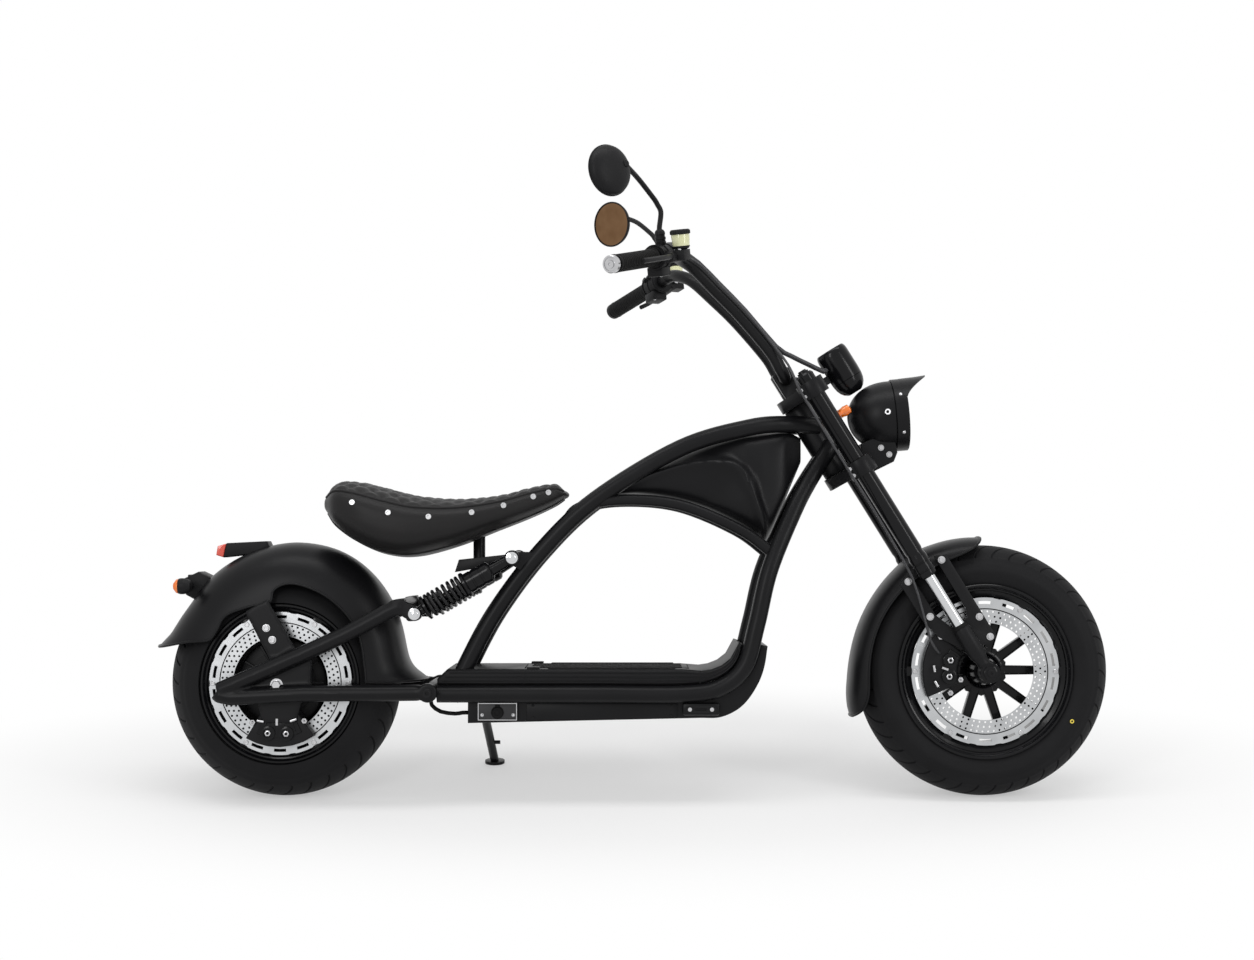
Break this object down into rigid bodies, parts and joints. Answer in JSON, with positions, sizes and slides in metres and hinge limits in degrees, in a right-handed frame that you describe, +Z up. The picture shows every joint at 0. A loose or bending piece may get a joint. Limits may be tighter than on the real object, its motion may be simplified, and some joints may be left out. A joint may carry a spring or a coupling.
{
  "type": "electric chopper scooter",
  "caption": "Two-wheeled electric chopper scooter with arched tube frame, solo saddle, high handlebar, fat tyres, battery footboard and hub motor, leaning on its side stand.",
  "frame": {"origin": "on the floor, under the centre of the parked scooter's box", "axes": "+X forward, +Y to the rider's left, +Z up; the scooter leans 9 degrees to +Y on its side stand"},
  "size_m": [1.8934, 0.7716, 1.2852],
  "materials": {
    "amber_lens": "clear coat",
    "black_leather": "grained",
    "black_plastic": "grained",
    "black_rubber": "ribbed",
    "bright_steel": "polished",
    "brushed_disc_steel": "brushed",
    "cast_black_alloy": "satin black",
    "clear_lens": "clear",
    "fluid_reservoir": "translucent",
    "gloss_black_paint": "gloss",
    "red_lens": "clear coat",
    "satin_black_paint": "satin",
    "spring_black": "gloss",
    "stanchion_chrome": "polished",
    "tyre_rubber": "matt"
  },
  "bodies": {
    "chassis": {"battery_box": "satin_black_paint", "battery_cables": "black_rubber", "charge_socket": "bright_steel", "deck": "black_plastic", "frame_loop_left": "satin_black_paint", "frame_loop_right": "satin_black_paint", "head_tube": "satin_black_paint", "lower_rail_left": "satin_black_paint", "lower_rail_right": "satin_black_paint", "pivot_tube": "satin_black_paint", "rear_axle": "bright_steel", "rear_caliper": "cast_black_alloy", "rear_fender": "satin_black_paint", "seat_bracket": "satin_black_paint", "seat_cushion": "black_leather", "shock_left": "spring_black", "shock_right": "spring_black", "stand_bracket": "satin_black_paint", "swingarm_left": "satin_black_paint", "swingarm_right": "satin_black_paint", "tail_bracket": "black_plastic", "tail_light_housing": "black_plastic", "tail_light_lens": "red_lens", "tank_cover": "gloss_black_paint"},
    "steering": {"control_left": "black_plastic", "control_right": "black_plastic", "fork_slider_left": "cast_black_alloy", "fork_slider_right": "cast_black_alloy", "fork_stanchion_left": "stanchion_chrome", "fork_stanchion_right": "stanchion_chrome", "fork_tube_left": "gloss_black_paint", "fork_tube_right": "gloss_black_paint", "front_axle": "bright_steel", "front_caliper": "cast_black_alloy", "front_fender": "satin_black_paint", "front_signal_left": "amber_lens", "front_signal_right": "amber_lens", "gauge_pod": "gloss_black_paint", "grip_left": "black_rubber", "grip_right": "black_rubber", "handlebar": "satin_black_paint", "headlight_bracket": "satin_black_paint", "headlight_lens": "clear_lens", "headlight_shell": "satin_black_paint", "lower_clamp": "satin_black_paint", "mirror_left": "black_plastic", "mirror_right": "black_plastic", "reservoir_left": "fluid_reservoir", "reservoir_right": "fluid_reservoir", "upper_clamp": "satin_black_paint", "front_brake_hose": "black_rubber", "bar_loom": "black_plastic"},
    "front_wheel": {"front_tyre": "tyre_rubber", "front_wheel": "cast_black_alloy", "front_disc": "brushed_disc_steel"},
    "rear_wheel": {"rear_tyre": "tyre_rubber", "rear_wheel": "cast_black_alloy", "rear_disc": "brushed_disc_steel"},
    "side_stand": {"side_stand": "satin_black_paint"},
    "battery_lid": {"battery_lid": "black_plastic"}
  },
  "joints": [
    {"name": "steering", "type": "hinge", "parent": "chassis", "child": "steering", "pos_m": [0.66611, -0.12537, 0.2269], "axis": [-0.5255, 0.1331, 0.8403], "range_deg": [-35, 35]},
    {"name": "front_wheel_spin", "type": "hinge", "parent": "steering", "child": "front_wheel", "pos_m": [0.69674, -0.12241, 0.24559], "axis": [0, 0.9877, -0.1564], "continuous": true},
    {"name": "rear_wheel_spin", "type": "hinge", "parent": "chassis", "child": "rear_wheel", "pos_m": [-0.69526, -0.12583, 0.22399], "axis": [0, 0.9877, -0.1564], "continuous": true},
    {"name": "side_stand_fold", "type": "hinge", "parent": "chassis", "child": "side_stand", "pos_m": [-0.30626, -0.0292, 0.13095], "axis": [0.03, 0.7441, 0.6674], "range_deg": [0, 87]},
    {"name": "battery_lid_hinge", "type": "hinge", "parent": "chassis", "child": "battery_lid", "pos_m": [0.10774, -0.12121, 0.25314], "axis": [0, 0.9877, -0.1564], "range_deg": [0, 60]}
  ]
}
